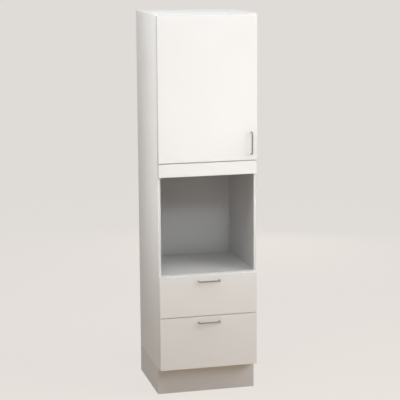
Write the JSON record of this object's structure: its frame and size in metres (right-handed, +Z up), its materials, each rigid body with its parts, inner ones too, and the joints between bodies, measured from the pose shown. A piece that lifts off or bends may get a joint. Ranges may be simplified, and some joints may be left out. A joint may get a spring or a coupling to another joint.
{
  "type": "tall oven cabinet",
  "caption": "Tall white kitchen cabinet for a built-in oven: hinged cupboard door above, open oven niche, drawers below on telescopic runners, recessed plinth.",
  "frame": {"origin": "on the floor, in the middle of the width and of the whole depth with the handles", "axes": "+Z up, fronts face -Y, +X to the right of someone facing the fronts"},
  "size_m": [0.6, 0.613, 2.278],
  "materials": {
    "white_front": "white satin lacquer",
    "white_board": "white melamine",
    "white_plinth": "white foil",
    "white_back": "white lacquered fibreboard",
    "steel_handle": "brushed",
    "zinc_fitting": "zinc plated",
    "galvanised_steel": "galvanised",
    "nickel_hinge": "nickel plated",
    "painted_drawer_side": "light grey powder coat",
    "dark_plastic": "moulded",
    "clear_bumper": "soft, translucent"
  },
  "bodies": {
    "carcass": {"cam_locks": "zinc_fitting", "cam_bolts": "zinc_fitting", "top_panel": "white_board", "bottom_panel": "white_board", "oven_shelf": "white_board", "cupboard_floor": "white_board", "wall_rail": "white_board", "back_panel": "white_back", "side_panel_left": "white_board", "side_panel_right": "white_board", "loose_shelf_lower": "white_board", "shelf_pins": "zinc_fitting", "loose_shelf_upper": "white_board", "plinth_front": "white_plinth", "plinth_side_left": "white_plinth", "plinth_side_right": "white_plinth", "legs": "dark_plastic", "leg_sockets": "dark_plastic", "plinth_clips": "dark_plastic", "filler_panel": "white_front", "filler_brackets": "galvanised_steel", "hinge_pins": "nickel_hinge", "hinge_arms": "nickel_hinge", "hinge_plates": "nickel_hinge", "runner_outer_upper": "galvanised_steel", "runner_outer_lower": "galvanised_steel"},
    "door": {"door_panel": "white_front", "door_handle": "steel_handle", "door_handle_screws": "zinc_fitting", "door_bumpers": "clear_bumper", "hinge_cups": "nickel_hinge"},
    "upper_runner": {"runner_middle_upper": "galvanised_steel"},
    "upper_outer_cages": {"ball_cages_outer_upper": "galvanised_steel"},
    "upper_inner_cages": {"ball_cages_inner_upper": "galvanised_steel"},
    "upper_drawer": {"upper_drawer_handle": "steel_handle", "upper_drawer_handle_screws": "zinc_fitting", "upper_drawer_front": "white_front", "upper_drawer_bottom": "white_board", "upper_drawer_back": "white_board", "upper_drawer_side_left": "painted_drawer_side", "upper_drawer_brackets": "galvanised_steel", "upper_drawer_side_right": "painted_drawer_side", "runner_inner_upper": "galvanised_steel"},
    "lower_runner": {"runner_middle_lower": "galvanised_steel"},
    "lower_outer_cages": {"ball_cages_outer_lower": "galvanised_steel"},
    "lower_inner_cages": {"ball_cages_inner_lower": "galvanised_steel"},
    "lower_drawer": {"lower_drawer_handle": "steel_handle", "lower_drawer_handle_screws": "zinc_fitting", "lower_drawer_front": "white_front", "lower_drawer_bottom": "white_board", "lower_drawer_back": "white_board", "lower_drawer_side_left": "painted_drawer_side", "lower_drawer_brackets": "galvanised_steel", "lower_drawer_side_right": "painted_drawer_side", "runner_inner_lower": "galvanised_steel"}
  },
  "joints": [
    {"name": "door_swing", "type": "hinge", "parent": "carcass", "child": "door", "pos_m": [-0.2915, -0.2645, 1.8455], "axis": [0, 0, -1], "range_deg": [0, 110]},
    {"name": "upper_drawer_slide", "type": "slide", "parent": "carcass", "child": "upper_drawer", "axis": [0, -1, 0], "range_m": [0, 0.47]},
    {"name": "upper_runner_slide", "type": "slide", "parent": "carcass", "child": "upper_runner", "axis": [0, -1, 0], "range_m": [0, 0.235]},
    {"name": "upper_outer_cages_slide", "type": "slide", "parent": "carcass", "child": "upper_outer_cages", "axis": [0, -1, 0], "range_m": [0, 0.1175]},
    {"name": "upper_inner_cages_slide", "type": "slide", "parent": "carcass", "child": "upper_inner_cages", "axis": [0, -1, 0], "range_m": [0, 0.3525]},
    {"name": "lower_drawer_slide", "type": "slide", "parent": "carcass", "child": "lower_drawer", "axis": [0, -1, 0], "range_m": [0, 0.47]},
    {"name": "lower_runner_slide", "type": "slide", "parent": "carcass", "child": "lower_runner", "axis": [0, -1, 0], "range_m": [0, 0.235]},
    {"name": "lower_outer_cages_slide", "type": "slide", "parent": "carcass", "child": "lower_outer_cages", "axis": [0, -1, 0], "range_m": [0, 0.1175]},
    {"name": "lower_inner_cages_slide", "type": "slide", "parent": "carcass", "child": "lower_inner_cages", "axis": [0, -1, 0], "range_m": [0, 0.3525]}
  ],
  "couplings": [
    {"joint": "upper_runner_slide", "follows": "upper_drawer_slide", "ratio": 0.5},
    {"joint": "upper_outer_cages_slide", "follows": "upper_drawer_slide", "ratio": 0.25},
    {"joint": "upper_inner_cages_slide", "follows": "upper_drawer_slide", "ratio": 0.75},
    {"joint": "lower_runner_slide", "follows": "lower_drawer_slide", "ratio": 0.5},
    {"joint": "lower_outer_cages_slide", "follows": "lower_drawer_slide", "ratio": 0.25},
    {"joint": "lower_inner_cages_slide", "follows": "lower_drawer_slide", "ratio": 0.75}
  ]
}
